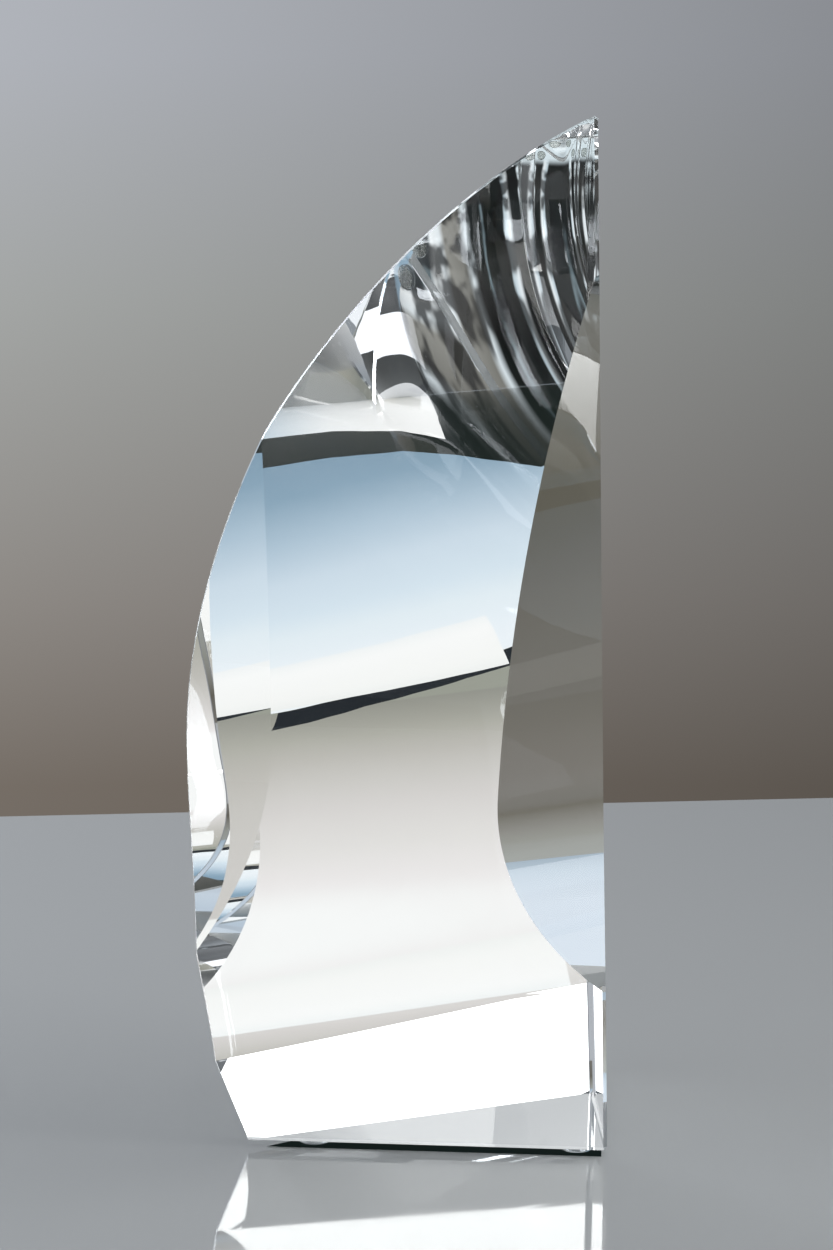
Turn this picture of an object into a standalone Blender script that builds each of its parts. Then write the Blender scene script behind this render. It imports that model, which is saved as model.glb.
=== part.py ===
"""Crystal award: a clear three-sided sail cut from one block of optical glass.

It stands on three clear rubber bumpers, each held by a thin adhesive disc.
Lengths here are millimetres, turned to metres by MM. X runs along the front
face to the right, Y runs away from it, and Z is up. The origin is the middle
of the object's box, on the surface that it stands on.
"""

import math

import bmesh
import bpy
from mathutils import Matrix, Vector

MM = 0.001

# The base: a triangle with a front side, a right side and a slanted back side.
BASE_WIDTH = 89.0            # front side, between the left and the right corner
BASE_DEPTH = 94.0            # how far the back corner lies behind the front side
BACK_CORNER_INSET = 9.0      # how far the back corner lies left of the front right one
RIGHT_LEAN = 0.8             # degrees that the right side leans in with height

# The plinth: the slanted back side leans out from the base up to a crease.
PLINTH_HEIGHT = 19.5         # up to the crease, on the front face
PLINTH_FLARE = 8.1           # how far the crease stands out past the base there

# The sail above the crease: a curved outline swept level along the slanted back side.
SAIL_HEIGHT = 251.5          # from the crystal's underside to its tip
TIP_INSET = 2.9              # how far the tip lies left of the front right corner
SAIL_TURN = 0.65             # degrees in plan between the sweep and the base's slanted side
CREASE_LEAN = 6.0            # degrees from upright at which the outline leaves the crease
CREASE_PULL = 14.0           # length of the curve's handle there
BELLY_HEIGHT = 98.0          # where the outline stands out furthest
BELLY_FLARE = 19.5           # how far it stands out past the base there
BELLY_PULL_DOWN = 22.0       # length of the curve's handle below the belly
BELLY_PULL_UP = 62.0         # and above it
TIP_LEAN = 66.0              # degrees from upright at which the outline reaches the tip
TIP_PULL = 53.0              # length of the curve's handle there
STEPS_BELOW_BELLY = 16       # flats along the curve
STEPS_ABOVE_BELLY = 48

# Two facets ground into the front. At its foot each runs out in the hollow that the wheel leaves.
RIGHT_FACET_WIDTH = 27.0     # along the front face, at the level of its widest place
RIGHT_FACET_LEVEL = 84.0     # height of that level
RIGHT_FACET_TURN = 52.0      # degrees from the front face, in plan
RIGHT_FACET_LEAN = 2.5       # degrees that it leans back just above that level
RIGHT_COVE_RADIUS = 59.0     # of the hollow at its foot
RIGHT_HOLLOW_RADIUS = 640.0  # of the long, shallow hollow above
LEFT_FACET_INSET = 6.8       # from the base's left corner to the facet's inner edge
LEFT_FACET_LEVEL = 99.0
LEFT_FACET_TURN = 12.0
LEFT_FACET_LEAN = 0.1
LEFT_COVE_RADIUS = 350.0
LEFT_HOLLOW_RADIUS = 9000.0
COVE_STEPS = 14
HOLLOW_STEPS = 10

# Narrow polished flats. The two wheel-cut facets keep their crisp edges on the front face.
EDGE_FLAT = 0.9              # set back from every edge where the sides meet
EDGE_FLAT_FROM = 75.0        # degrees that the surface turns there, at least
CREASE_FLAT = 0.6            # set back from the crease on the slanted side

# The bumpers and the adhesive discs under the crystal.
BUMPER_DIAMETER = 8.0
BUMPER_HEIGHT = 1.5
BUMPER_SOLE = 4.6            # diameter of the flat that touches the table
BUMPER_RIM = 0.35            # height of the upright rim next to the disc
ADHESIVE_DIAMETER = 7.4
ADHESIVE_THICKNESS = 0.15
SEAT_GAP = 0.1               # left between pieces that touch
BUMPER_INSET = 3.4           # from a bumper's edge to the nearest sides of the base
ROUND_SEGMENTS = 48
SHOULDER_STEPS = 8

FOOT_HEIGHT = BUMPER_HEIGHT + SEAT_GAP + ADHESIVE_THICKNESS + SEAT_GAP
BEYOND = 80.0                # how far blanks and cutters reach past the object

FRONT_RIGHT = Vector((0.0, 0.0, 0.0))
FRONT_LEFT = Vector((-BASE_WIDTH, 0.0, 0.0))
BACK_CORNER = Vector((-BACK_CORNER_INSET, BASE_DEPTH, 0.0))


def clear_scene():
    for item in list(bpy.data.objects):
        bpy.data.objects.remove(item, do_unlink=True)


def make_material(name, colour, roughness, transmission, ior):
    material = bpy.data.materials.new(name)
    material.use_nodes = True
    shader = material.node_tree.nodes["Principled BSDF"]
    shader.inputs["Base Color"].default_value = (*colour, 1.0)
    shader.inputs["Metallic"].default_value = 0.0
    shader.inputs["Roughness"].default_value = roughness
    shader.inputs["Transmission Weight"].default_value = transmission
    shader.inputs["IOR"].default_value = ior
    return material


def add_object(name, bm, material=None):
    """Turn a bmesh in millimetres into a named object in metres."""
    bmesh.ops.scale(bm, vec=(MM, MM, MM), verts=bm.verts)
    mesh = bpy.data.meshes.new(name)
    bm.to_mesh(mesh)
    bm.free()
    item = bpy.data.objects.new(name, mesh)
    bpy.context.scene.collection.objects.link(item)
    if material:
        mesh.materials.append(material)
    return item


def swept_solid(rim, travel):
    """A solid made by sweeping a flat outline along a straight line."""
    bm = bmesh.new()
    face = bm.faces.new([bm.verts.new(point) for point in rim])
    swept = bmesh.ops.extrude_face_region(bm, geom=[face])
    moved = [part for part in swept["geom"] if isinstance(part, bmesh.types.BMVert)]
    bmesh.ops.translate(bm, vec=travel, verts=moved)
    bmesh.ops.recalc_face_normals(bm, faces=bm.faces)
    return bm


def cut_away(bm, point, normal):
    """Cut a solid by a plane, drop what lies on the normal's side and close the cut."""
    geometry = bm.verts[:] + bm.edges[:] + bm.faces[:]
    cut = bmesh.ops.bisect_plane(
        bm, geom=geometry, dist=1e-5, plane_co=point, plane_no=normal, clear_outer=True
    )
    rim = [part for part in cut["geom_cut"] if isinstance(part, bmesh.types.BMEdge)]
    bmesh.ops.edgeloop_fill(bm, edges=rim)
    bmesh.ops.recalc_face_normals(bm, faces=bm.faces)


def lean_vector(degrees):
    """A unit vector in the front face that leans from upright to the left by that angle."""
    angle = math.radians(degrees)
    return Vector((-math.sin(angle), 0.0, math.cos(angle)))


def curve_points(start, handle_a, handle_b, end, steps):
    """Points along a cubic curve, without its start."""
    points = []
    for step in range(1, steps + 1):
        t = step / steps
        s = 1.0 - t
        points.append(start * s**3 + handle_a * (3 * s * s * t) + handle_b * (3 * s * t * t) + end * t**3)
    return points


def crease_point():
    return FRONT_LEFT + Vector((-PLINTH_FLARE, 0.0, PLINTH_HEIGHT))


def sail_outline():
    """The front face's left edge from below the base up past the tip."""
    crease = crease_point()
    belly = FRONT_LEFT + Vector((-BELLY_FLARE, 0.0, BELLY_HEIGHT))
    tip = Vector((-TIP_INSET, 0.0, SAIL_HEIGHT))
    below_crease = crease - lean_vector(CREASE_LEAN) * (crease.z / lean_vector(CREASE_LEAN).z)
    into_tip = lean_vector(-TIP_LEAN)
    points = [below_crease, crease]
    points += curve_points(
        crease, crease + lean_vector(CREASE_LEAN) * CREASE_PULL,
        belly - Vector((0.0, 0.0, BELLY_PULL_DOWN)), belly, STEPS_BELOW_BELLY,
    )
    points += curve_points(
        belly, belly + Vector((0.0, 0.0, BELLY_PULL_UP)),
        tip - into_tip * TIP_PULL, tip, STEPS_ABOVE_BELLY,
    )
    points.append(tip + into_tip * BEYOND)
    return points


def sail_block():
    """The outline swept along the slanted side, with the front, right and plinth sides cut."""
    slant = (BACK_CORNER - FRONT_LEFT).normalized()
    sweep = Matrix.Rotation(math.radians(SAIL_TURN), 3, "Z") @ slant
    outline = sail_outline()
    outline.append(Vector((outline[-1].x, 0.0, 0.0)))
    start = sweep * -BEYOND
    travel = sweep * (BASE_WIDTH + BASE_DEPTH + 2 * BEYOND)
    bm = swept_solid([point + start for point in outline], travel)

    cut_away(bm, FRONT_RIGHT, Vector((0.0, -1.0, 0.0)))
    right_run = (BACK_CORNER - FRONT_RIGHT).normalized()
    lean = math.radians(RIGHT_LEAN)
    right_normal = Vector((right_run.y * math.cos(lean), -right_run.x * math.cos(lean), math.sin(lean)))
    cut_away(bm, FRONT_RIGHT, right_normal)
    plinth_normal = (crease_point() - FRONT_LEFT).cross(slant).normalized()
    cut_away(bm, FRONT_LEFT, plinth_normal)
    plinth = max(bm.faces, key=lambda face: face.normal.dot(plinth_normal))
    crease = max(plinth.edges, key=lambda edge: sum(vert.co.z for vert in edge.verts))
    bmesh.ops.bevel(bm, geom=[crease], offset=CREASE_FLAT, segments=1, affect="EDGES")
    return bm


def wheel_section(level, lean, cove_radius, hollow_radius):
    """The ground surface in section, from the foot of the cove up, as (distance out, height)."""
    drop = min(cove_radius * 0.95, level + BEYOND / 2)
    first = -math.asin(drop / cove_radius)
    last = math.radians(lean)
    points = []
    for step in range(COVE_STEPS + 1):
        angle = first + (last - first) * step / COVE_STEPS
        points.append((cove_radius * (1.0 - math.cos(angle)), level + cove_radius * math.sin(angle)))
    joint_out, joint_height = points[-1]
    centre_out = joint_out + hollow_radius * math.cos(last)
    centre_height = joint_height - hollow_radius * math.sin(last)
    top = math.asin((SAIL_HEIGHT + BEYOND / 2 - centre_height) / hollow_radius)
    for step in range(1, HOLLOW_STEPS + 1):
        angle = last + (top - last) * step / HOLLOW_STEPS
        points.append(
            (centre_out - hollow_radius * math.cos(angle), centre_height + hollow_radius * math.sin(angle))
        )
    return points


def wheel_cutter(name, edge_x, turn, section):
    """What the wheel takes away: its section swept along the facet's level direction.

    edge_x is where the facet meets the front face at its level. turn is its angle from the front
    face in plan, positive for a facet on the right and negative for one on the left.
    """
    angle = math.radians(turn)
    along = Vector((math.cos(angle), math.sin(angle), 0.0))
    outward = Vector((math.sin(angle), -math.cos(angle), 0.0))
    far = max(distance for distance, height in section) + BEYOND
    closed = section + [(far, section[-1][1]), (far, section[0][1])]
    reach = along * (2 * BEYOND)
    origin = Vector((edge_x, 0.0, 0.0)) - reach
    rim = [origin + outward * distance + Vector((0.0, 0.0, height)) for distance, height in closed]
    cutter = add_object(name, swept_solid(rim, reach * 2))
    cutter.hide_render = True
    cutter.display_type = "WIRE"
    return cutter


def subtract(target, cutter):
    modifier = target.modifiers.new(cutter.name, "BOOLEAN")
    modifier.operation = "DIFFERENCE"
    modifier.solver = "EXACT"
    modifier.object = cutter


def polish_edges(target):
    """Take a narrow flat off every edge where the surface turns sharply."""
    modifier = target.modifiers.new("edge_flats", "BEVEL")
    modifier.width = EDGE_FLAT * MM
    modifier.segments = 1
    modifier.limit_method = "ANGLE"
    modifier.angle_limit = math.radians(EDGE_FLAT_FROM)


def build_crystal(material):
    crystal = add_object("crystal_body", sail_block(), material)
    right = wheel_section(RIGHT_FACET_LEVEL, RIGHT_FACET_LEAN, RIGHT_COVE_RADIUS, RIGHT_HOLLOW_RADIUS)
    left = wheel_section(LEFT_FACET_LEVEL, LEFT_FACET_LEAN, LEFT_COVE_RADIUS, LEFT_HOLLOW_RADIUS)
    right_wheel = wheel_cutter("right_wheel", -RIGHT_FACET_WIDTH, RIGHT_FACET_TURN, right)
    left_wheel = wheel_cutter("left_wheel", -BASE_WIDTH + LEFT_FACET_INSET, -LEFT_FACET_TURN, left)
    subtract(crystal, left_wheel)
    subtract(crystal, right_wheel)
    polish_edges(crystal)
    return crystal, [left_wheel, right_wheel]


def turned_solid(profile):
    """A solid turned about Z from a profile of (radius, height) that starts and ends on the axis."""
    bm = bmesh.new()
    verts = [bm.verts.new((radius, 0.0, height)) for radius, height in profile]
    edges = [bm.edges.new(pair) for pair in zip(verts, verts[1:])]
    bmesh.ops.spin(
        bm, geom=verts + edges, cent=(0.0, 0.0, 0.0), axis=(0.0, 0.0, 1.0),
        angle=math.tau, steps=ROUND_SEGMENTS, use_merge=True,
    )
    bmesh.ops.remove_doubles(bm, verts=bm.verts, dist=1e-4)
    bmesh.ops.recalc_face_normals(bm, faces=bm.faces)
    return bm


def bumper_profile():
    """A low dome: a flat sole, a round shoulder and an upright rim under a flat top."""
    sole = BUMPER_SOLE / 2
    rim = BUMPER_DIAMETER / 2
    shoulder = BUMPER_HEIGHT - BUMPER_RIM
    profile = [(0.0, 0.0), (sole, 0.0)]
    for step in range(1, SHOULDER_STEPS + 1):
        angle = math.pi / 2 * step / SHOULDER_STEPS
        profile.append((sole + (rim - sole) * math.sin(angle), shoulder * (1.0 - math.cos(angle))))
    profile += [(rim, BUMPER_HEIGHT), (0.0, BUMPER_HEIGHT)]
    return profile


def adhesive_profile():
    radius = ADHESIVE_DIAMETER / 2
    bottom = BUMPER_HEIGHT + SEAT_GAP
    top = bottom + ADHESIVE_THICKNESS
    return [(0.0, bottom), (radius, bottom), (radius, top), (0.0, top)]


def corner_seat(corner, toward_a, toward_b):
    """The centre of a bumper that keeps its inset from both sides that meet at a corner."""
    side_a = (toward_a - corner).normalized()
    side_b = (toward_b - corner).normalized()
    half_angle = side_a.angle(side_b) / 2
    middle = (side_a + side_b).normalized()
    return corner + middle * ((BUMPER_DIAMETER / 2 + BUMPER_INSET) / math.sin(half_angle))


def build_feet(rubber, adhesive):
    seats = {
        "front_right": corner_seat(FRONT_RIGHT, FRONT_LEFT, BACK_CORNER),
        "front_left": corner_seat(FRONT_LEFT, FRONT_RIGHT, BACK_CORNER),
        "back": corner_seat(BACK_CORNER, FRONT_RIGHT, FRONT_LEFT),
    }
    pieces = []
    for place, seat in seats.items():
        bumper = add_object("bumper_" + place, turned_solid(bumper_profile()), rubber)
        disc = add_object("adhesive_" + place, turned_solid(adhesive_profile()), adhesive)
        for piece in (bumper, disc):
            piece.data.shade_smooth()
            piece.data.set_sharp_from_angle(angle=math.radians(40.0))
            piece.location = seat * MM
            pieces.append(piece)
    return pieces


def box_middle(item):
    """The middle in plan of an object's box, with its modifiers."""
    bpy.context.view_layer.update()
    mesh = item.evaluated_get(bpy.context.evaluated_depsgraph_get()).data
    across = [vert.co.x for vert in mesh.vertices]
    along = [vert.co.y for vert in mesh.vertices]
    return Vector(((min(across) + max(across)) / 2, (min(along) + max(along)) / 2, 0.0))


def main():
    clear_scene()
    glass = make_material("optical_glass", (0.94, 0.98, 0.97), 0.0, 1.0, 1.52)
    rubber = make_material("clear_rubber", (0.90, 0.92, 0.92), 0.12, 0.9, 1.49)
    adhesive = make_material("clear_adhesive", (0.93, 0.93, 0.90), 0.25, 0.8, 1.47)
    crystal, wheels = build_crystal(glass)
    feet = build_feet(rubber, adhesive)
    middle = box_middle(crystal)
    for item in [crystal] + wheels:
        item.location = Vector((0.0, 0.0, FOOT_HEIGHT * MM)) - middle
    for item in feet:
        item.location -= middle


main()
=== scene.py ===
"""Looks of a crystal award: a clear three-sided sail cut from one block, standing on clear bumpers.

Lengths of the crystal are millimetres, turned to metres by MM. X runs along the flat front face to
the right, Y runs away from it, and Z is up. The crystal is worked out from its front right base
corner, and is then laid into the box that the frame gives.
"""

import math

import bmesh
import bpy
from mathutils import Matrix, Vector


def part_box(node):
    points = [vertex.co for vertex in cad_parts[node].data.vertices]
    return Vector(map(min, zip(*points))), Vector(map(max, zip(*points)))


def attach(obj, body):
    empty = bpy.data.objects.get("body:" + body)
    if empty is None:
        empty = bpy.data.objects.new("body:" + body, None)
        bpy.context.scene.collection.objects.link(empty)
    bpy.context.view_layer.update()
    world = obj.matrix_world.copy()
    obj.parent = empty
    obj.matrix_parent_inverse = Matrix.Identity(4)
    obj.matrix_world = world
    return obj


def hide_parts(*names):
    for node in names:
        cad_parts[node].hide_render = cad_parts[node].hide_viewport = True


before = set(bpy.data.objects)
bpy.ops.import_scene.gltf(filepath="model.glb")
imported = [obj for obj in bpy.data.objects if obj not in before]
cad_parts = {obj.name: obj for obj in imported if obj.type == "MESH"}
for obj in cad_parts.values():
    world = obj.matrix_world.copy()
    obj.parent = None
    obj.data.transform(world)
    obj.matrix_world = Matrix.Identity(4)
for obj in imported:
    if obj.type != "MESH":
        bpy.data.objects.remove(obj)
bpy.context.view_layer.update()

MM = 0.001

# The base: a triangle with a front side, a right side and a slanted back side.
BASE_WIDTH = 89.0            # front side, between the left and the right corner
BASE_DEPTH = 94.0            # how far the back corner lies behind the front side
BACK_CORNER_INSET = 9.0      # how far the back corner lies left of the front right one
RIGHT_LEAN = 0.8             # degrees that the right side leans in with height

# The plinth: the slanted back side leans out from the base up to a crease.
PLINTH_HEIGHT = 19.5         # up to the crease, on the front face
PLINTH_FLARE = 8.1           # how far the crease stands out past the base there

# The sail above the crease: a curved outline swept level along the slanted back side.
SAIL_HEIGHT = 251.5          # from the crystal's underside to its tip
TIP_INSET = 2.9              # how far the tip lies left of the front right corner
SAIL_TURN = 0.65             # degrees in plan between the sweep and the base's slanted side
CREASE_LEAN = 6.0            # degrees from upright at which the outline leaves the crease
CREASE_PULL = 14.0           # length of the curve's handle there
BELLY_HEIGHT = 98.0          # where the outline stands out furthest
BELLY_FLARE = 19.5           # how far it stands out past the base there
BELLY_PULL_DOWN = 22.0       # length of the curve's handle below the belly
BELLY_PULL_UP = 62.0         # and above it
TIP_LEAN = 66.0              # degrees from upright at which the outline reaches the tip
TIP_PULL = 53.0              # length of the curve's handle there
STEPS_BELOW_BELLY = 70       # along the curve, fine enough that no flat shows in the glass
STEPS_ABOVE_BELLY = 170
STEPS_AT_TIP = 3             # the last ones of them are one straight run, where the flats need room

# Two facets ground into the front. At its foot each runs out in the hollow that the wheel leaves.
RIGHT_FACET_WIDTH = 27.0     # along the front face, at the level of its widest place
RIGHT_FACET_LEVEL = 84.0     # height of that level
RIGHT_FACET_TURN = 52.0      # degrees from the front face, in plan
RIGHT_FACET_LEAN = 2.5       # degrees that it leans back just above that level
RIGHT_COVE_RADIUS = 59.0     # of the hollow at its foot
RIGHT_HOLLOW_RADIUS = 640.0  # of the long, shallow hollow above
LEFT_FACET_INSET = 6.8       # from the base's left corner to the facet's inner edge
LEFT_FACET_LEVEL = 99.0
LEFT_FACET_TURN = 12.0
LEFT_FACET_LEAN = 0.1
LEFT_COVE_RADIUS = 350.0
LEFT_HOLLOW_RADIUS = 9000.0
COVE_STEPS = 64
HOLLOW_STEPS = 40
COVE_REACH = 0.95            # share of its radius that a cove runs down, at most

# Narrow polished flats. The two wheel-cut facets keep their crisp edges on the front face.
EDGE_FLAT = 0.9              # set back from every edge where the sides meet
EDGE_FLAT_FROM = 75.0        # degrees that the surface turns there, at least
CREASE_FLAT = 0.6            # set back from the crease on the slanted side
CRISP_FROM = 6.0             # degrees between two faces that makes their edge a crisp one
JOIN_WITHIN = 0.6            # points of the cut solid that lie this close become one
ORDER_ALONG = Vector((0.62, 0.27, 0.74))  # a direction aslant to every side, to put parts in order

BEYOND = 80.0                # how far blanks and cutters reach past the object
CUT_WITHIN = 1e-5            # points this close to a cutting plane count as on it

FRONT_RIGHT = Vector((0.0, 0.0, 0.0))
FRONT_LEFT = Vector((-BASE_WIDTH, 0.0, 0.0))
BACK_CORNER = Vector((-BACK_CORNER_INSET, BASE_DEPTH, 0.0))

# The bumpers and the adhesive discs. Their places come from the frame.
BUMPER_SIZES = {"Radius": 4.0, "Height": 1.5, "Sole radius": 2.3, "Rim height": 0.35}
ADHESIVE_SIZES = {"Radius": 3.7, "Height": 0.15, "Sole radius": 3.7, "Rim height": 0.05}
ROUND_SEGMENTS = 64
SHOULDER_STEPS = 26
FOOT_CRISP_FROM = 40.0       # degrees between two faces that makes their edge a crisp one

# The stage, in the frame's own plan: outlines as (x, y). The far edge of the table runs askew.
TABLE = [(-700, -700), (420, -700), (420, 543), (-700, 254)]

# What the crystal shows lies on the table as glowing cards, which nothing but the glass sees.
# Their colours hold painted light, painted shade and painted shadow on the table.
CARD_LIFT = 0.6              # of the glowing cards above the table
PAINTED_SHADE_LIFT = 0.9              # of the dark sheets of painted shadow and shade, which lie on them
# Painted shadow: between these two edges lies the crystal's curved shadow on the table, and behind it a patch
# of shade.
SHADOW_INNER_EDGE = [(84, -60), (85, 14), (87, 33), (95, 53), (107, 66)]
SHADOW_OUTER_EDGE = [(103, -60), (103, 13), (105, 32), (110, 53), (120, 69), (140, 94)]
PAINTED_SAIL_SHADOW = SHADOW_INNER_EDGE + [(78, 63), (50, 60), (50, 120), (125, 120)] + SHADOW_OUTER_EDGE[::-1]
# Painted light: the table on the right past the crystal's shadow, lit by the lamp there.
PAINTED_TABLE_LIGHT = SHADOW_OUTER_EDGE + [(140, 150), (317, 150), (299, 83), (409, 11), (409, -60)]
# Painted light: the bright patch that the crystal throws on the table, between itself and its curved shadow.
PAINTED_LIGHT_POOL = [(46, -60)] + SHADOW_INNER_EDGE + [(78, 63), (50, 60)]
# The table behind the crystal, and past it the far table and backdrop: their own pale blue and brown grey,
# with the fall of the light across them painted in, on glowing sheets.
TABLE_BEHIND_GLOW = [(-70, 38), (48, 38), (48, 230), (-70, 226)]
FAR_TABLE_GLOW = [(-400, 226), (48, 230), (48, 1300), (-400, 1300)]
# Past the dark edge on the right: the far table's own beige grey, glowing as it looks lit.
BEYOND_EDGE_GLOW = [(409, 11), (420, 3), (420, 449), (299, 449), (299, 83)]
# Painted shade: a dark band along the edge where the lit table on the right ends.
PAINTED_EDGE_SHADE = [(299, 83), (409, 11), (540, 15), (500, 26), (432, 42), (394, 58), (360, 74), (332, 92)]
# A low glowing card stands some way to the right, as (x, y, z): painted light of a lit white card.
# The face above the crease mirrors it.
UPRIGHT_CARD = [(182, -75, 36), (182, 60, 36), (182, 60, 57), (182, -75, 57)]

# How each glowing card's tone and painted light fade along one axis:
# (place, colour) along X, Y or Z.
# painted light on the table on the right, brighter towards the lamp there
TABLE_LIGHT_SHADES = [
    (103, "#829eb4"), (122, "#8aa6bb"), (147, "#b1c6d7"), (172, "#ceddea"), (200, "#d8e6f1"),
    (222, "#e5eff6"), (275, "#eff5fb"), (409, "#f2f7fb"),
]
# painted light of that bright patch, brighter towards the back
LIGHT_POOL_SHADES = [(-20, "#8fa9bd"), (11.5, "#c6d6e3"), (32.5, "#fbfdff"), (50, "#ffffff")]
TABLE_BEHIND_SHADES = [(38, "#cddae9"), (115, "#cedbea"), (186, "#bdcede"), (230, "#a6b9ca")]
FAR_TABLE_SHADES = [
    (228, "#9c9f9c"), (300, "#959793"), (327, "#8f908a"), (400, "#84837e"), (576, "#5f5b50"),
    (633, "#65615a"), (700, "#6a6761"), (1053, "#706c66"),
]
UPRIGHT_SHADES = [(36, "#f4f6f7"), (41, "#fbfbfb"), (53, "#f8f8f7"), (57, "#f2f3f2")]
# colour of the far table on the right, glowing as lit
BEYOND_EDGE_BEIGE = "#97998f"
# colour of the painted shade along the edge of the lit table
EDGE_SHADE_BLUE_BLACK = "#20262c"
# colour of the painted shadow of the sail and of the shade behind it
SAIL_SHADOW_GREEN_BLACK = "#18211f"

# Under the crystal, from its front right base corner: painted shade on a black glowing sheet, with
# painted bright streaks across it, and below that a dark shade, which keeps the gap between the feet dark.
STREAKED_SHADE = [(-66, 1.5), (-1.5, 1.5), (-9, 90), (-66, 27)]
STREAKED_SHADE_LIFT = 0.3
SHADE_UNDER = [(-84, 1.0), (-1.5, 1.0), (-9.5, 91)]
SHADE_LIFT = 0.2
SHADE_COLOUR = "#141c1b"
# The painted bright streaks cross it aslant: (x minus y in the frame, colour).
STREAK_SHADES = [
    (13.4, "#050d0b"), (14.7, "#dfeaf1"), (16.5, "#dfeaf1"), (17.8, "#0a1110"), (26, "#050d0b"),
    (28.6, "#eef5fa"), (32.7, "#c4d3dc"), (34.2, "#050d0b"), (49.4, "#050d0b"), (50.7, "#74858d"),
    (52.2, "#050d0b"), (59.6, "#0c1312"), (64, "#dfe8ee"), (68, "#7d7c77"), (80, "#93928d"),
    (83.6, "#e9f0f5"), (90.8, "#f6fafd"), (94.4, "#4f5e64"), (110, "#c9d6de"),
]
STREAK_SWAY = 7.0             # how far the streaks wander from straight, at most
STREAK_SWAY_SIZE = 18.0       # length of one bend in them
STREAK_BREAK_SIZE = 11.0      # of the patches in which they fade
STREAK_FADED = 0.12            # what is left of their colour there
FADED_BELOW = 0.42            # where the noise of the patches is lower, they fade
FULL_ABOVE = 0.56           # and where it is higher, they keep their full colour
STREAKED_SHADE_END = (44.0, 54.0)      # the painted shade turns to painted light between these values of x plus y
LIT_PAST_STREAKED_SHADE = "#dbe8ef"

# Colours of the studio: (degrees above level, colour).
BEHIND_SHADES = [
    (-17.5, "#57534a"), (-9.8, "#68615a"), (-7.7, "#7d7975"), (-4.3, "#919392"), (-1.5, "#9c9fa5"),
    (11.5, "#a8acb2"), (36.9, "#7d8288"),
]
BESIDE_SHADES = [
    (-17.5, "#8a8c86"), (-14.5, "#989890"), (-7.0, "#b3b2a9"), (-2.9, "#c3c0ba"), (0.0, "#d1ceca"),
    (2.0, "#dcd8d6"), (4.0, "#e8e5e3"), (4.9, "#f2eeee"), (5.3, "#ffffff"), (11.5, "#ffffff"),
    (36.9, "#e6e8eb"),
]
# The light behind falls off from left to right, and the front is dim, so that the front face mirrors
# little. Sideways and ahead are parts of a sight line one long, so 0.1 is about six degrees.
BEHIND_TURN = 0.10           # the fall-off lies between this far left and this far right
BEHIND_LEFT = 1.35           # share of the light at its left end
BEHIND_RIGHT = 0.72          # and at its right one
FRONT_FROM = -0.6            # from here to straight across the dimming fades out
FRONT_LIGHT = 0.35           # share of the light left in front
BESIDE_FROM = 0.3            # the bright right side fades in between these
BESIDE_TO = 0.75

# Soft lights as (name, place, aim, width, height, radiance, colour). Places are right, ahead and up
# from the crystal's front right base corner, as the camera faces.
SOFTBOXES = [
    ("softbox_right", (860, 40, 500), (0, 20, 60), 900, 560, 2.4, "#ffffff"),
    ("softbox_above", (-60, 60, 1000), (0, 40, 0), 700, 700, 0.7, "#fafbff"),
    ("softbox_front", (150, -900, 800), (0, 0, 120), 420, 420, 1.2, "#f6f8ff"),
]
# This one draws the thin bright line along the curved edge.
RIM_LIGHT = ("rim_light", (-800, 640, 420), (-60, 20, 160), 460, 900, 7.0, "#f2f7ff")

# The camera stands in front, a little to the right, and looks down at the crystal.
VIEW_TURN = 7.17             # degrees that its line of sight is turned from the front face's normal
VIEW_DROP = 8.0              # degrees that it looks down
CAMERA_LEFT = 46.34          # how far it stands left of the front right base corner, along its own level
CAMERA_BACK = 1185.5         # how far in front of that corner
CAMERA_HEIGHT = 297.6        # above the table
LENS = 144.0
SENSOR_HEIGHT = 36.0
CAUGHT_TURNS = 40            # how often a sight line may turn inside the glass

NOISE_LOW = 0.3              # most of a noise pattern lies between these two
NOISE_HIGH = 0.7


def linear(hex_colour, alpha=1.0):
    """An sRGB hex colour as the linear values that a socket takes."""
    channels = [int(hex_colour[place:place + 2], 16) / 255 for place in (1, 3, 5)]
    turned = [c / 12.92 if c <= 0.04045 else ((c + 0.055) / 1.055) ** 2.4 for c in channels]
    return (*turned, alpha)


def add_node(tree, kind, settings=None, values=None, links=None):
    """Add a node, set its properties and socket values, and link outputs into its inputs."""
    node = tree.nodes.new(kind)
    for name, value in (settings or {}).items():
        setattr(node, name, value)
    for name, value in (values or {}).items():
        node.inputs[name].default_value = value
    for name, source in (links or {}).items():
        tree.links.new(source, node.inputs[name])
    return node


def add_object(name, bm, material=None):
    """Turn a bmesh in millimetres into a named object in metres."""
    bmesh.ops.scale(bm, vec=(MM, MM, MM), verts=bm.verts)
    mesh = bpy.data.meshes.new(name)
    bm.to_mesh(mesh)
    bm.free()
    item = bpy.data.objects.new(name, mesh)
    bpy.context.scene.collection.objects.link(item)
    if material:
        mesh.materials.append(material)
    return item


# ---- the crystal -----------------------------------------------------------------------------

def swept_solid(rim, travel):
    """A solid made by sweeping a flat outline along a straight line."""
    bm = bmesh.new()
    face = bm.faces.new([bm.verts.new(point) for point in rim])
    swept = bmesh.ops.extrude_face_region(bm, geom=[face])
    moved = [part for part in swept["geom"] if isinstance(part, bmesh.types.BMVert)]
    bmesh.ops.translate(bm, vec=travel, verts=moved)
    bmesh.ops.recalc_face_normals(bm, faces=bm.faces)
    return bm


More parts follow.
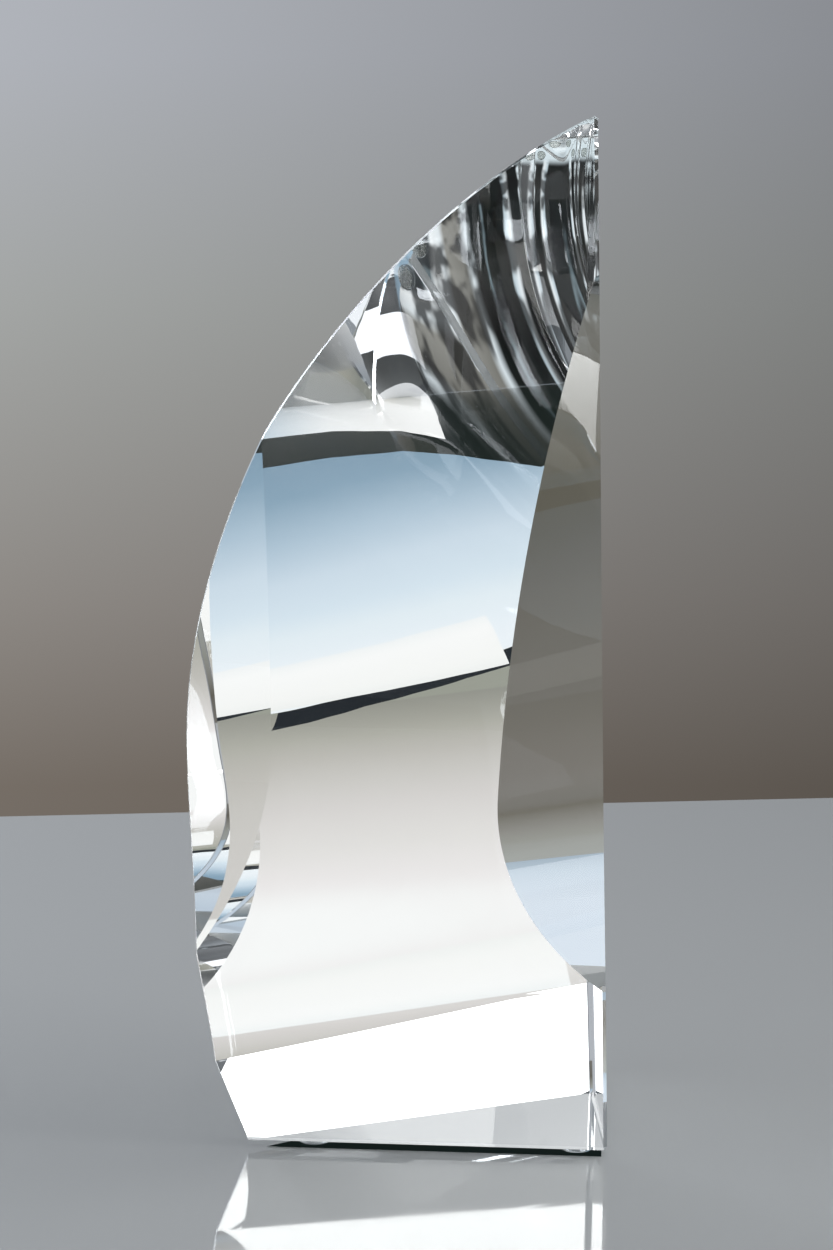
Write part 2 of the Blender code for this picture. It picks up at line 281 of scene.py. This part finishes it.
def cut_away(bm, point, normal):
    """Cut a solid by a plane, drop what lies on the normal's side and close the cut."""
    geometry = bm.verts[:] + bm.edges[:] + bm.faces[:]
    cut = bmesh.ops.bisect_plane(
        bm, geom=geometry, dist=CUT_WITHIN, plane_co=point, plane_no=normal, clear_outer=True
    )
    rim = [part for part in cut["geom_cut"] if isinstance(part, bmesh.types.BMEdge)]
    bmesh.ops.edgeloop_fill(bm, edges=rim)
    bmesh.ops.recalc_face_normals(bm, faces=bm.faces)


def lean_vector(degrees):
    """A unit vector in the front face that leans from upright to the left by that angle."""
    angle = math.radians(degrees)
    return Vector((-math.sin(angle), 0.0, math.cos(angle)))


def curve_points(start, handle_a, handle_b, end, steps):
    """Points along a cubic curve, without its start."""
    points = []
    for step in range(1, steps + 1):
        t = step / steps
        s = 1.0 - t
        points.append(start * s**3 + handle_a * (3 * s * s * t) + handle_b * (3 * s * t * t) + end * t**3)
    return points


def crease_point():
    return FRONT_LEFT + Vector((-PLINTH_FLARE, 0.0, PLINTH_HEIGHT))


def sail_outline():
    """The front face's left edge from below the base up past the tip."""
    crease = crease_point()
    belly = FRONT_LEFT + Vector((-BELLY_FLARE, 0.0, BELLY_HEIGHT))
    tip = Vector((-TIP_INSET, 0.0, SAIL_HEIGHT))
    below_crease = crease - lean_vector(CREASE_LEAN) * (crease.z / lean_vector(CREASE_LEAN).z)
    into_tip = lean_vector(-TIP_LEAN)
    points = [below_crease, crease]
    points += curve_points(
        crease, crease + lean_vector(CREASE_LEAN) * CREASE_PULL,
        belly - Vector((0.0, 0.0, BELLY_PULL_DOWN)), belly, STEPS_BELOW_BELLY,
    )
    points += curve_points(
        belly, belly + Vector((0.0, 0.0, BELLY_PULL_UP)),
        tip - into_tip * TIP_PULL, tip, STEPS_ABOVE_BELLY,
    )
    points = points[:-STEPS_AT_TIP]
    points.append(tip + into_tip * BEYOND)
    return points


def slanted_side():
    """The level direction of the base's slanted side, from the left corner to the back one."""
    return (BACK_CORNER - FRONT_LEFT).normalized()


def sail_block():
    """The outline swept along the slanted side, with the front, right and plinth sides cut."""
    sweep = Matrix.Rotation(math.radians(SAIL_TURN), 3, "Z") @ slanted_side()
    outline = sail_outline()
    outline.append(Vector((outline[-1].x, 0.0, 0.0)))
    start = sweep * -BEYOND
    travel = sweep * (BASE_WIDTH + BASE_DEPTH + 2 * BEYOND)
    bm = swept_solid([point + start for point in outline], travel)

    cut_away(bm, FRONT_RIGHT, Vector((0.0, -1.0, 0.0)))
    right_run = (BACK_CORNER - FRONT_RIGHT).normalized()
    lean = math.radians(RIGHT_LEAN)
    right_normal = Vector((right_run.y * math.cos(lean), -right_run.x * math.cos(lean), math.sin(lean)))
    cut_away(bm, FRONT_RIGHT, right_normal)
    plinth_normal = (crease_point() - FRONT_LEFT).cross(slanted_side()).normalized()
    cut_away(bm, FRONT_LEFT, plinth_normal)
    plinth = max(bm.faces, key=lambda face: face.normal.dot(plinth_normal))
    crease = max(plinth.edges, key=lambda edge: sum(vert.co.z for vert in edge.verts))
    bmesh.ops.bevel(bm, geom=[crease], offset=CREASE_FLAT, segments=1, affect="EDGES")
    return bm


def wheel_section(level, lean, cove_radius, hollow_radius):
    """The ground surface in section, from the foot of the cove up, as (distance out, height)."""
    drop = min(cove_radius * COVE_REACH, level + BEYOND / 2)
    first = -math.asin(drop / cove_radius)
    last = math.radians(lean)
    points = []
    for step in range(COVE_STEPS + 1):
        angle = first + (last - first) * step / COVE_STEPS
        points.append((cove_radius * (1.0 - math.cos(angle)), level + cove_radius * math.sin(angle)))
    joint_out, joint_height = points[-1]
    centre_out = joint_out + hollow_radius * math.cos(last)
    centre_height = joint_height - hollow_radius * math.sin(last)
    top = math.asin((SAIL_HEIGHT + BEYOND / 2 - centre_height) / hollow_radius)
    for step in range(1, HOLLOW_STEPS + 1):
        angle = last + (top - last) * step / HOLLOW_STEPS
        points.append(
            (centre_out - hollow_radius * math.cos(angle), centre_height + hollow_radius * math.sin(angle))
        )
    return points


def wheel_cutter(name, edge_x, turn, section):
    """What the wheel takes away: its section swept along the facet's level direction.

    edge_x is where the facet meets the front face at its level. turn is its angle from the front
    face in plan, positive for a facet on the right and negative for one on the left.
    """
    angle = math.radians(turn)
    along = Vector((math.cos(angle), math.sin(angle), 0.0))
    outward = Vector((math.sin(angle), -math.cos(angle), 0.0))
    far = max(distance for distance, height in section) + BEYOND
    closed = section + [(far, section[-1][1]), (far, section[0][1])]
    reach = along * (2 * BEYOND)
    origin = Vector((edge_x, 0.0, 0.0)) - reach
    rim = [origin + outward * distance + Vector((0.0, 0.0, height)) for distance, height in closed]
    return add_object(name, swept_solid(rim, reach * 2))


def subtract(target, cutter):
    modifier = target.modifiers.new(cutter.name, "BOOLEAN")
    modifier.operation = "DIFFERENCE"
    modifier.solver = "EXACT"
    modifier.object = cutter


def polish_edges(target):
    """Take a narrow flat off every edge where the surface turns sharply."""
    modifier = target.modifiers.new("edge_flats", "BEVEL")
    modifier.width = EDGE_FLAT * MM
    modifier.segments = 1
    modifier.limit_method = "ANGLE"
    modifier.angle_limit = math.radians(EDGE_FLAT_FROM)
    modifier.use_clamp_overlap = False


def plain_mesh(item):
    """Turn an object's modifiers into its mesh."""
    bpy.context.view_layer.update()
    evaluated = item.evaluated_get(bpy.context.evaluated_depsgraph_get())
    mesh = bpy.data.meshes.new_from_object(evaluated)
    mesh.name = item.name
    item.modifiers.clear()
    item.data = mesh


def join_close_points(item):
    """Join the points that two cuts left almost in one place.

    The cuts leave points, edges and faces in another order each time. Which points join, and where
    the flats' corners come to lie, depends on that order, so everything is put in order first.
    """
    bm = bmesh.new()
    bm.from_mesh(item.data)
    bm.verts.sort(key=lambda vert: vert.co.dot(ORDER_ALONG))
    bm.edges.sort(key=lambda edge: (edge.verts[0].co + edge.verts[1].co).dot(ORDER_ALONG))
    bm.faces.sort(key=lambda face: face.calc_center_median().dot(ORDER_ALONG))
    bmesh.ops.remove_doubles(bm, verts=bm.verts, dist=JOIN_WITHIN * MM)
    bm.to_mesh(item.data)
    bm.free()


def extent(item):
    """The lowest and highest corners of a mesh."""
    points = [vert.co for vert in item.data.vertices]
    low = [min(point[axis] for point in points) for axis in range(3)]
    high = [max(point[axis] for point in points) for axis in range(3)]
    return low, high


def lay_into_box(item, low, high):
    """Lay a mesh into a box: the same middle in plan, the same underside, and past no side of it.

    The finely stepped curves bulge a few hundredths of a millimetre past the coarser solid's.
    """
    own_low, own_high = extent(item)
    shares = []
    for axis in range(3):
        shares.append(min(1.0, (high[axis] - low[axis]) / (own_high[axis] - own_low[axis])))
    item.data.transform(Matrix.Diagonal((*shares, 1.0)))
    own_low, own_high = extent(item)
    shift = [(low[axis] + high[axis] - own_low[axis] - own_high[axis]) / 2 for axis in range(3)]
    shift[2] = low[2] - own_low[2]
    item.data.transform(Matrix.Translation(shift))
    return Vector(shift)


def build_crystal(material):
    """Make the crystal and say where its front right base corner lies, in metres in the frame."""
    crystal = add_object("crystal", sail_block(), material)
    right = wheel_section(RIGHT_FACET_LEVEL, RIGHT_FACET_LEAN, RIGHT_COVE_RADIUS, RIGHT_HOLLOW_RADIUS)
    left = wheel_section(LEFT_FACET_LEVEL, LEFT_FACET_LEAN, LEFT_COVE_RADIUS, LEFT_HOLLOW_RADIUS)
    wheels = [
        wheel_cutter("left_wheel", -BASE_WIDTH + LEFT_FACET_INSET, -LEFT_FACET_TURN, left),
        wheel_cutter("right_wheel", -RIGHT_FACET_WIDTH, RIGHT_FACET_TURN, right),
    ]
    for wheel in wheels:
        subtract(crystal, wheel)
    plain_mesh(crystal)
    for wheel in wheels:
        bpy.data.objects.remove(wheel)
    join_close_points(crystal)
    polish_edges(crystal)
    plain_mesh(crystal)
    corner = lay_into_box(crystal, *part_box("crystal_body"))
    crystal.data.shade_smooth()
    crystal.data.set_sharp_from_angle(angle=math.radians(CRISP_FROM))
    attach(crystal, "root")
    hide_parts("crystal_body")
    return corner


# ---- bumpers and their adhesive discs ---------------------------------------------------------

def foot_places(kind):
    """A mesh of one point for each foot: the middle of the node's box, at its underside."""
    mesh = bpy.data.meshes.new(kind + "_places")
    spots = []
    for node in sorted(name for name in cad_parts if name.startswith(kind + "_")):
        low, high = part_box(node)
        spots.append(((low[0] + high[0]) / 2, (low[1] + high[1]) / 2, low[2]))
    mesh.from_pydata(spots, [], [])
    return mesh


def round_feet_tree(material):
    """Geometry nodes that stand the same low round solid on every point.

    A can is drawn in towards its sole by a quarter-ellipse shoulder. Its height runs from 0 to 1,
    and the shoulder takes the share of it that is not the upright rim.
    """
    tree = bpy.data.node_groups.new("round_feet", "GeometryNodeTree")
    tree.interface.new_socket("Places", in_out="INPUT", socket_type="NodeSocketGeometry")
    for name in ("Radius", "Height", "Sole radius", "Rim height"):
        tree.interface.new_socket(name, in_out="INPUT", socket_type="NodeSocketFloat")
    tree.interface.new_socket("Feet", in_out="OUTPUT", socket_type="NodeSocketGeometry")
    given = add_node(tree, "NodeGroupInput").outputs
    can = add_node(
        tree, "GeometryNodeMeshCylinder", {"fill_type": "TRIANGLE_FAN"},
        {"Vertices": ROUND_SEGMENTS, "Side Segments": SHOULDER_STEPS},
        {"Radius": given["Radius"], "Depth": given["Height"]},
    )
    half = add_node(tree, "ShaderNodeMath", {"operation": "MULTIPLY"}, {1: 0.5}, {0: given["Height"]})
    lift = add_node(tree, "ShaderNodeCombineXYZ", links={"Z": half.outputs[0]})
    stood = add_node(
        tree, "GeometryNodeTransform", links={"Geometry": can.outputs["Mesh"], "Translation": lift.outputs[0]}
    )
    place = add_node(tree, "GeometryNodeInputPosition")
    split = add_node(tree, "ShaderNodeSeparateXYZ", links={0: place.outputs[0]})
    shoulder = add_node(
        tree, "ShaderNodeMath", {"operation": "SUBTRACT"},
        links={0: given["Height"], 1: given["Rim height"]},
    )
    rise = add_node(
        tree, "ShaderNodeMath", {"operation": "DIVIDE", "use_clamp": True},
        links={0: split.outputs["Z"], 1: shoulder.outputs[0]},
    )
    below = add_node(tree, "ShaderNodeMath", {"operation": "SUBTRACT"}, {0: 1.0}, {1: rise.outputs[0]})
    square = add_node(tree, "ShaderNodeMath", {"operation": "POWER"}, {1: 2.0}, {0: below.outputs[0]})
    rest = add_node(tree, "ShaderNodeMath", {"operation": "SUBTRACT"}, {0: 1.0}, {1: square.outputs[0]})
    round_out = add_node(tree, "ShaderNodeMath", {"operation": "SQRT"}, links={0: rest.outputs[0]})
    sole_share = add_node(
        tree, "ShaderNodeMath", {"operation": "DIVIDE"}, links={0: given["Sole radius"], 1: given["Radius"]}
    )
    share = add_node(
        tree, "ShaderNodeMapRange", {"clamp": False},
        links={"Value": round_out.outputs[0], "To Min": sole_share.outputs[0]},
    )
    share.inputs["To Max"].default_value = 1.0
    flat = add_node(
        tree, "ShaderNodeCombineXYZ", values={"Z": 1.0},
        links={"X": share.outputs["Result"], "Y": share.outputs["Result"]},
    )
    drawn_in = add_node(
        tree, "ShaderNodeVectorMath", {"operation": "MULTIPLY"},
        links={0: place.outputs[0], 1: flat.outputs[0]},
    )
    shaped = add_node(
        tree, "GeometryNodeSetPosition",
        links={"Geometry": stood.outputs[0], "Position": drawn_in.outputs[0]},
    )
    spread = add_node(
        tree, "GeometryNodeInstanceOnPoints",
        links={"Points": given["Places"], "Instance": shaped.outputs[0]},
    )
    real = add_node(tree, "GeometryNodeRealizeInstances", links={0: spread.outputs[0]})
    coated = add_node(
        tree, "GeometryNodeSetMaterial", values={"Material": material}, links={0: real.outputs[0]}
    )
    result = add_node(tree, "NodeGroupOutput")
    tree.links.new(coated.outputs[0], result.inputs[0])
    return tree


def build_feet(kind, material, sizes):
    """Make one piece that holds the same round foot, or disc, under each corner of the crystal."""
    piece = bpy.data.objects.new(kind + "s", foot_places(kind))
    bpy.context.scene.collection.objects.link(piece)
    modifier = piece.modifiers.new("feet", "NODES")
    modifier.node_group = round_feet_tree(material)
    for item in modifier.node_group.interface.items_tree:
        if item.name in sizes:
            modifier[item.identifier] = sizes[item.name] * MM
    plain_mesh(piece)
    piece.data.shade_smooth()
    piece.data.set_sharp_from_angle(angle=math.radians(FOOT_CRISP_FROM))
    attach(piece, "root")
    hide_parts(*[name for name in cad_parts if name.startswith(kind + "_")])


# ---- materials -------------------------------------------------------------------------------

def new_material(name):
    material = bpy.data.materials.new(name)
    material.use_nodes = True
    return material, material.node_tree, material.node_tree.nodes["Principled BSDF"]


def grain(tree, size, detail=1.0):
    """Noise whose patches are about that many millimetres across."""
    place = add_node(tree, "ShaderNodeTexCoord")
    return add_node(
        tree, "ShaderNodeTexNoise", values={"Scale": 1 / (size * MM), "Detail": detail},
        links={"Vector": place.outputs["Object"]},
    )


def relief(tree, shader, height, depth):
    """Let a pattern raise the surface by up to that many millimetres."""
    bump = add_node(tree, "ShaderNodeBump", values={"Distance": depth * MM}, links={"Height": height})
    tree.links.new(bump.outputs[0], shader.inputs["Normal"])


def sheen(tree, shader, pattern, smooth, rough):
    """Let a pattern turn the roughness between its smoothest and its roughest."""
    gloss = add_node(
        tree, "ShaderNodeMapRange",
        values={"From Min": NOISE_LOW, "From Max": NOISE_HIGH, "To Min": smooth, "To Max": rough},
        links={"Value": pattern},
    )
    tree.links.new(gloss.outputs[0], shader.inputs["Roughness"])


def optical_crystal():
    """Lead-free optical crystal: clear all through, with a breath of green in its depth.

    The flats are ground true and then polished on a soft wheel with a fine oxide. The wheel leaves
    no haze, only a sway of a few thousandths of a millimetre from one centimetre to the next. The
    faces mirror sharply, and the far edges seen through them waver a little.
    """
    material, tree, shader = new_material("polished_optical_crystal")
    shader.inputs["Base Color"].default_value = linear("#fdfffe")
    shader.inputs["Roughness"].default_value = 0.0
    shader.inputs["IOR"].default_value = 1.52
    shader.inputs["Transmission Weight"].default_value = 1.0
    sway = grain(tree, size=13.0)
    relief(tree, shader, sway.outputs[0], depth=0.004)
    return material


def bumper_rubber():
    """Cast clear polyurethane, poured in drops that level out by themselves.

    The skin sets as smooth as the drop was, with a fine orange peel of four tenths of a millimetre
    and dull spots where it has been handled. It shines like a wet bead and is faintly grey inside.
    """
    material, tree, shader = new_material("cast_clear_polyurethane")
    shader.inputs["Base Color"].default_value = linear("#eef2f4")
    shader.inputs["IOR"].default_value = 1.49
    shader.inputs["Transmission Weight"].default_value = 0.85
    peel = grain(tree, size=0.4, detail=2.0)
    relief(tree, shader, peel.outputs[0], depth=0.006)
    sheen(tree, shader, peel.outputs[0], smooth=0.04, rough=0.14)
    return material


def adhesive_film():
    """Clear acrylic adhesive film, pressed on by hand.

    Air stays caught under it in round bubbles of about half a millimetre. Each one breaks the
    contact with the crystal, so the disc looks hazed and slightly milky beside the clear block.
    """
    material, tree, shader = new_material("clear_acrylic_adhesive")
    shader.inputs["Base Color"].default_value = linear("#e9e9e3")
    shader.inputs["IOR"].default_value = 1.47
    shader.inputs["Transmission Weight"].default_value = 0.8
    bubble = 0.5 * MM
    place = add_node(tree, "ShaderNodeTexCoord")
    bubbles = add_node(
        tree, "ShaderNodeTexVoronoi", values={"Scale": 1 / bubble}, links={"Vector": place.outputs["Object"]}
    )
    relief(tree, shader, bubbles.outputs["Distance"], depth=0.01)
    sheen(tree, shader, bubbles.outputs["Distance"], smooth=0.15, rough=0.45)
    return material


def floor_surface():
    """A table top in pale lacquer, sprayed and buffed.

    Buffing leaves it almost a mirror at a low angle, a touch duller in patches of some centimetres,
    so it carries a soft-edged reflection of what stands on it.
    """
    material, tree, shader = new_material("pale_lacquer")
    shader.inputs["Base Color"].default_value = linear("#bdbfbe")
    shader.inputs["IOR"].default_value = 1.5
    buffing = grain(tree, size=60.0, detail=3.0)
    sheen(tree, shader, buffing.outputs[0], smooth=0.03, rough=0.06)
    return material


def glowing_card(name, hex_colour, strength=1.0):
    """A card that shines with its own light, as strong as a lit one of that colour."""
    material = bpy.data.materials.new(name)
    material.use_nodes = True
    tree = material.node_tree
    tree.nodes.clear()
    glow = add_node(tree, "ShaderNodeEmission", values={"Color": linear(hex_colour), "Strength": strength})
    result = add_node(tree, "ShaderNodeOutputMaterial")
    tree.links.new(glow.outputs[0], result.inputs["Surface"])
    return material


def shaded_card(name, axis, shades, strength):
    """A glowing card that fades along one axis, by places in millimetres."""
    material = glowing_card(name, shades[0][1], strength)
    tree = material.node_tree
    shade = fade(tree, axes(tree)[axis], [(place * MM, colour) for place, colour in shades])
    tree.links.new(shade.outputs[0], tree.nodes["Emission"].inputs["Color"])
    return material


def axes(tree):
    """The X, Y and Z of a place on the piece, in metres."""
    place = add_node(tree, "ShaderNodeTexCoord")
    return add_node(tree, "ShaderNodeSeparateXYZ", links={0: place.outputs["Object"]}).outputs


def fade(tree, value, shades):
    """Colours along a value, from (value, hex colour) pairs. Past the ends they stay as they are."""
    first, last = shades[0][0], shades[-1][0]
    share = add_node(
        tree, "ShaderNodeMapRange", values={"From Min": first, "From Max": last}, links={"Value": value}
    )
    node = add_node(tree, "ShaderNodeValToRGB", links={"Fac": share.outputs[0]})
    elements = node.color_ramp.elements
    for place, colour in shades[1:-1]:
        elements.new((place - first) / (last - first))
    for element, shade in zip(elements, shades):
        element.color = linear(shade[1])
    return node


def painted_shade_and_streaks():
    """Painted shade on a black glowing sheet, with painted bright streaks across it: the glass above
    turns them into upright streaks.

    The streaks wander a little and fade at random in patches.
    """
    material = glowing_card("painted_shade_and_streaks", STREAK_SHADES[0][1])
    tree = material.node_tree
    place = axes(tree)
    across = add_node(
        tree, "ShaderNodeMath", {"operation": "SUBTRACT"}, links={0: place["X"], 1: place["Y"]}
    )
    along = add_node(tree, "ShaderNodeMath", {"operation": "ADD"}, links={0: place["X"], 1: place["Y"]})
    sway = grain(tree, STREAK_SWAY_SIZE)
    swayed = add_node(
        tree, "ShaderNodeMath", {"operation": "MULTIPLY_ADD"}, {1: STREAK_SWAY * MM},
        {0: sway.outputs[0], 2: across.outputs[0]},
    )
    light_streaks = fade(tree, swayed.outputs[0], [(spot * MM, colour) for spot, colour in STREAK_SHADES])
    # The painted streaks fade at random in patches.
    streak_patches = grain(tree, STREAK_BREAK_SIZE, detail=2.0)
    streak_fading = add_node(
        tree, "ShaderNodeMapRange", {"interpolation_type": "SMOOTHSTEP"},
        {"From Min": FADED_BELOW, "From Max": FULL_ABOVE, "To Min": STREAK_FADED, "To Max": 1.0},
        {"Value": streak_patches.outputs[0]},
    )
    faded_streaks = add_node(
        tree, "ShaderNodeVectorMath", {"operation": "SCALE"},
        links={0: light_streaks.outputs[0], "Scale": streak_fading.outputs[0]},
    )
    end = add_node(
        tree, "ShaderNodeMapRange", {"interpolation_type": "SMOOTHSTEP"},
        {"From Min": STREAKED_SHADE_END[0] * MM, "From Max": STREAKED_SHADE_END[1] * MM}, {"Value": along.outputs[0]},
    )
    mixed = add_node(
        tree, "ShaderNodeMix", {"data_type": "RGBA"}, {"B": linear(LIT_PAST_STREAKED_SHADE)},
        {"Factor": end.outputs[0], "A": faded_streaks.outputs[0]},
    )
    tree.links.new(mixed.outputs["Result"], tree.nodes["Emission"].inputs["Color"])
    return material


# ---- stage, light and camera -------------------------------------------------------------------

def stage_sheet(name, outline, height, material):
    """A flat sheet lying level, from its outline in millimetres in the frame."""
    return stage_card(name, [(x, y, height) for x, y in outline], material)


def stage_card(name, corners, material):
    """A flat card that stands or lies anywhere, from its corners in millimetres in the frame."""
    bm = bmesh.new()
    face = bm.faces.new([bm.verts.new(spot) for spot in corners])
    face.normal_update()
    if face.normal.z < 0:
        face.normal_flip()
    card = add_object(name, bm, material)
    return card


def only_through_glass(item):
    """Keep a card out of direct sight and off the table: only the crystal shows it."""
    item.visible_camera = False
    item.visible_diffuse = False
    item.visible_glossy = False
    item.visible_shadow = False


def set_stage():
    """The table, what only the glass sees on it, and the shade under the crystal."""
    stage_sheet("table", TABLE, 0.0, floor_surface())
    # Glowing cards of painted light: the lit table, the crystal's bright patch, the far table, a white card.
    pale = shaded_card("painted_table_light_glow", "X", TABLE_LIGHT_SHADES, strength=1.05)
    white = shaded_card("painted_light_pool_glow", "Y", LIGHT_POOL_SHADES, strength=1.1)
    blue = shaded_card("table_behind_painted_light", "Y", TABLE_BEHIND_SHADES, strength=0.88)
    brown = shaded_card("far_table_painted_light", "Y", FAR_TABLE_SHADES, strength=0.97)
    upright = shaded_card("upright_card_painted_light", "Z", UPRIGHT_SHADES, strength=1.06)
    # Among them lie sheets of painted shade and shadow: the edge band, the sail's shadow and the streaked
    # shade.
    cards = [
        stage_sheet("painted_table_light_card", PAINTED_TABLE_LIGHT, CARD_LIFT, pale),
        stage_sheet("painted_light_pool_card", PAINTED_LIGHT_POOL, CARD_LIFT, white),
        stage_sheet("table_behind_card", TABLE_BEHIND_GLOW, CARD_LIFT, blue),
        stage_sheet("far_table_card", FAR_TABLE_GLOW, CARD_LIFT, brown),
        stage_sheet("beyond_edge_card", BEYOND_EDGE_GLOW, CARD_LIFT, glowing_card("beyond_edge_painted_light", BEYOND_EDGE_BEIGE, strength=1.1)),
        stage_sheet("painted_edge_shade_card", PAINTED_EDGE_SHADE, PAINTED_SHADE_LIFT, glowing_card("painted_edge_shade_glow", EDGE_SHADE_BLUE_BLACK)),
        stage_sheet("painted_sail_shadow_card", PAINTED_SAIL_SHADOW, PAINTED_SHADE_LIFT, glowing_card("painted_sail_shadow_glow", SAIL_SHADOW_GREEN_BLACK)),
        stage_sheet("streaked_shade_card", plan_outline(STREAKED_SHADE), STREAKED_SHADE_LIFT, painted_shade_and_streaks()),
        stage_card("upright_card", UPRIGHT_CARD, upright),
    ]
    for card in cards:
        only_through_glass(card)
    shade = stage_sheet(
        "shade_under", plan_outline(SHADE_UNDER), SHADE_LIFT, glowing_card("shade", SHADE_COLOUR)
    )
    shade.visible_diffuse = False
    shade.visible_transmission = False
    shade.visible_shadow = False


def plan_outline(outline):
    """An outline given from the front right base corner, in the frame's plan."""
    return [(corner.x / MM + x, corner.y / MM + y) for x, y in outline]


def soft_light(name, spot, aim, width, height, radiance, hex_colour):
    """A rectangle of light that shines from a place towards an aim, unseen by the camera."""
    data = bpy.data.lights.new(name, "AREA")
    data.shape = "RECTANGLE"
    data.size = width * MM
    data.size_y = height * MM
    data.color = linear(hex_colour)[:3]
    data.energy = radiance * math.pi * data.size * data.size_y
    lamp = bpy.data.objects.new(name, data)
    place = in_frame(spot)
    lamp.location = place
    lamp.rotation_euler = (in_frame(aim) - place).to_track_quat("-Z", "Y").to_euler()
    lamp.visible_camera = False
    bpy.context.scene.collection.objects.link(lamp)
    return lamp


def in_frame(spot):
    """A place in the frame, from how far it is right, ahead and up of the base corner."""
    right, ahead = view_axes()
    step = right * spot[0] + ahead * spot[1] + Vector((0.0, 0.0, spot[2]))
    return Vector((corner.x, corner.y, 0.0)) + step * MM


def view_axes():
    """The camera's own level directions: to its right, and ahead."""
    turn = math.radians(VIEW_TURN)
    right = Vector((math.cos(turn), math.sin(turn), 0.0))
    ahead = Vector((-math.sin(turn), math.cos(turn), 0.0))
    return right, ahead


def by_height(shades):
    """Turn shades by degrees above level into shades by the rise of a sight line one long."""
    return [(math.sin(math.radians(degrees)), colour) for degrees, colour in shades]


def light_world():
    """A plain grey studio: dim and brown low behind, and bright and warm on the right."""
    world = bpy.data.worlds.new("studio")
    bpy.context.scene.world = world
    world.use_nodes = True
    tree = world.node_tree
    background = tree.nodes["Background"]
    looking = add_node(tree, "ShaderNodeTexCoord")
    turned = add_node(
        tree, "ShaderNodeMapping", {"vector_type": "POINT"},
        {"Rotation": (0.0, 0.0, -math.radians(VIEW_TURN))}, {"Vector": looking.outputs["Generated"]},
    )
    split = add_node(tree, "ShaderNodeSeparateXYZ", links={0: turned.outputs[0]})
    behind = fade(tree, split.outputs["Z"], by_height(BEHIND_SHADES))
    beside = fade(tree, split.outputs["Z"], by_height(BESIDE_SHADES))
    falling = add_node(
        tree, "ShaderNodeMapRange",
        values={
            "From Min": -BEHIND_TURN, "From Max": BEHIND_TURN, "To Min": BEHIND_LEFT, "To Max": BEHIND_RIGHT,
        },
        links={"Value": split.outputs["X"]},
    )
    fallen = add_node(
        tree, "ShaderNodeVectorMath", {"operation": "SCALE"},
        links={0: behind.outputs[0], "Scale": falling.outputs[0]},
    )
    in_front = add_node(
        tree, "ShaderNodeMapRange",
        values={"From Min": FRONT_FROM, "From Max": 0.0, "To Min": FRONT_LIGHT, "To Max": 1.0},
        links={"Value": split.outputs["Y"]},
    )
    dimmed = add_node(
        tree, "ShaderNodeVectorMath", {"operation": "SCALE"},
        links={0: fallen.outputs[0], "Scale": in_front.outputs[0]},
    )
    to_right = add_node(
        tree, "ShaderNodeMapRange", {"interpolation_type": "SMOOTHSTEP"},
        {"From Min": BESIDE_FROM, "From Max": BESIDE_TO}, {"Value": split.outputs["X"]},
    )
    mixed = add_node(
        tree, "ShaderNodeMix", {"data_type": "RGBA"},
        links={"Factor": to_right.outputs[0], "A": dimmed.outputs[0], "B": beside.outputs[0]},
    )
    tree.links.new(mixed.outputs["Result"], background.inputs["Color"])


def place_camera():
    ahead = view_axes()[1]
    drop = math.radians(VIEW_DROP)
    sight = ahead * math.cos(drop) - Vector((0.0, 0.0, math.sin(drop)))
    data = bpy.data.cameras.new("camera")
    data.lens = LENS
    data.sensor_fit = "VERTICAL"
    data.sensor_height = SENSOR_HEIGHT
    camera = bpy.data.objects.new("camera", data)
    camera.location = in_frame((-CAMERA_LEFT, -CAMERA_BACK, CAMERA_HEIGHT))
    camera.rotation_euler = sight.to_track_quat("-Z", "Y").to_euler()
    bpy.context.scene.collection.objects.link(camera)
    bpy.context.scene.camera = camera


corner = build_crystal(optical_crystal())
build_feet("bumper", bumper_rubber(), BUMPER_SIZES)
build_feet("adhesive", adhesive_film(), ADHESIVE_SIZES)
set_stage()
for softbox in SOFTBOXES:
    soft_light(*softbox)
rim = soft_light(*RIM_LIGHT)
rim.visible_diffuse = False
light_world()
place_camera()
bpy.context.scene.view_settings.view_transform = "Standard"
# Light that is caught inside the crystal turns many times before it leaves.
bpy.context.scene.cycles.max_bounces = CAUGHT_TURNS
bpy.context.scene.cycles.transmission_bounces = CAUGHT_TURNS
bpy.context.scene.cycles.glossy_bounces = CAUGHT_TURNS
